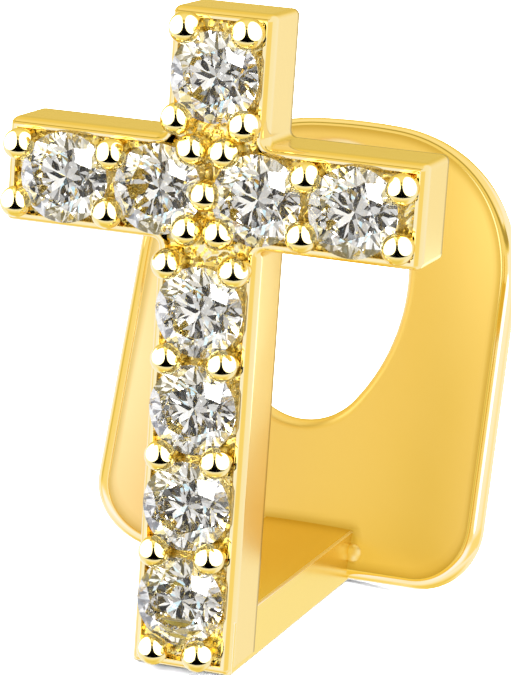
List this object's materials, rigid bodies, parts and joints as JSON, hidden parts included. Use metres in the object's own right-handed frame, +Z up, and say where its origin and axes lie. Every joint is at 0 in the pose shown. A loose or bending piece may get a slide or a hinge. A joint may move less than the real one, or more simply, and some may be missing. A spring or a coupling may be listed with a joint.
{
  "type": "grillz tooth cover",
  "caption": "Tooth cover: an upright cross pavé-set with round stones, joined at its foot by a short bridge to a curved, leaning back plate with an oval window.",
  "frame": {"origin": "middle of the bounding box seen from above, at the height of the foot's underside", "axes": "+Z up along the cross's upright; the cross faces -Y and the back plate stands towards +Y; +X to the right as seen from the front"},
  "size_m": [0.0088, 0.0116, 0.0129],
  "materials": {
    "gold": "polished",
    "stone": "polished"
  },
  "bodies": {
    "root": {"cap_metal": "gold", "stone_top": "stone", "stone_row_1": "stone", "stone_row_2": "stone", "stone_row_3": "stone", "stone_row_4": "stone", "stone_shaft_1": "stone", "stone_shaft_2": "stone", "stone_shaft_3": "stone", "stone_shaft_4": "stone"}
  },
  "joints": []
}
